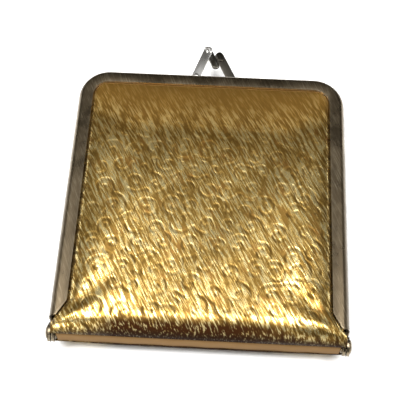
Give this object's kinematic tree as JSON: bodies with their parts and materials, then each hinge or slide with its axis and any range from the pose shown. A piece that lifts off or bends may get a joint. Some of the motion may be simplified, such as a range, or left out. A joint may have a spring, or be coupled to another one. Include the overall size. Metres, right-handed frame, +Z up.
{
  "type": "powder compact",
  "caption": "Flat book-shaped powder compact in padded gilt leathercloth with a steel snap frame, corner hinges, a snap clasp, a mirror, powder and a puff.",
  "frame": {"origin": "middle of the underside of the shut compact, where its back cover rests", "axes": "+X along the hinge to the right, +Y from the spine to the clasp, +Z up through the lid"},
  "size_m": [0.0878, 0.1054, 0.02],
  "materials": {
    "frame_steel": "satin, darkened steel with a fine vertical grain and brighter worn edges",
    "bright_steel": "smooth bright steel strip",
    "gilt_leathercloth": "metallic gilt foil embossed with small scrolls and a fine diagonal grain",
    "gilt_metal": "polished gilt",
    "tin_pan": "satin",
    "wadding": "soft wadding",
    "greyboard": "dull board",
    "moire_lining": "brown watered silk on card",
    "powder": "pressed matt powder",
    "velour": "short velour pile",
    "satin": "satin ribbon",
    "mirror": "silvered glass"
  },
  "bodies": {
    "base": {"back_frame": "frame_steel", "back_cover": "gilt_leathercloth", "back_padding": "wadding", "back_board": "greyboard", "spine_cover": "gilt_leathercloth", "spine_lining": "moire_lining", "powder_tray": "gilt_metal", "powder_pan": "tin_pan", "powder_cake": "powder", "puff": "velour", "puff_ribbon": "satin", "hinge_rivet_left": "bright_steel", "hinge_rivet_right": "bright_steel"},
    "lid": {"front_frame": "frame_steel", "front_cover": "gilt_leathercloth", "front_padding": "wadding", "front_board": "greyboard", "lid_lining": "moire_lining", "mirror_bezel": "gilt_metal", "mirror_backing": "greyboard", "mirror_glass": "mirror"},
    "front_clasp": {"front_clasp_arm": "bright_steel"},
    "back_clasp": {"back_clasp_arm": "bright_steel"}
  },
  "joints": [
    {"name": "lid_open", "type": "hinge", "parent": "base", "child": "lid", "pos_m": [0, -0.05005, 0.01], "axis": [1, 0, 0], "range_deg": [0, 110], "deforming": ["spine_cover", "spine_lining"]},
    {"name": "front_arm_flex", "type": "hinge", "parent": "lid", "child": "front_clasp", "pos_m": [-0.0054, 0.04065, 0.01145], "axis": [0, 0, 1], "range_deg": [0, 6], "stiffness_Nm_per_rad": 0.3},
    {"name": "back_arm_flex", "type": "hinge", "parent": "base", "child": "back_clasp", "pos_m": [0.0069, 0.04065, 0.00855], "axis": [0, 0, -1], "range_deg": [0, 6], "stiffness_Nm_per_rad": 0.3}
  ]
}
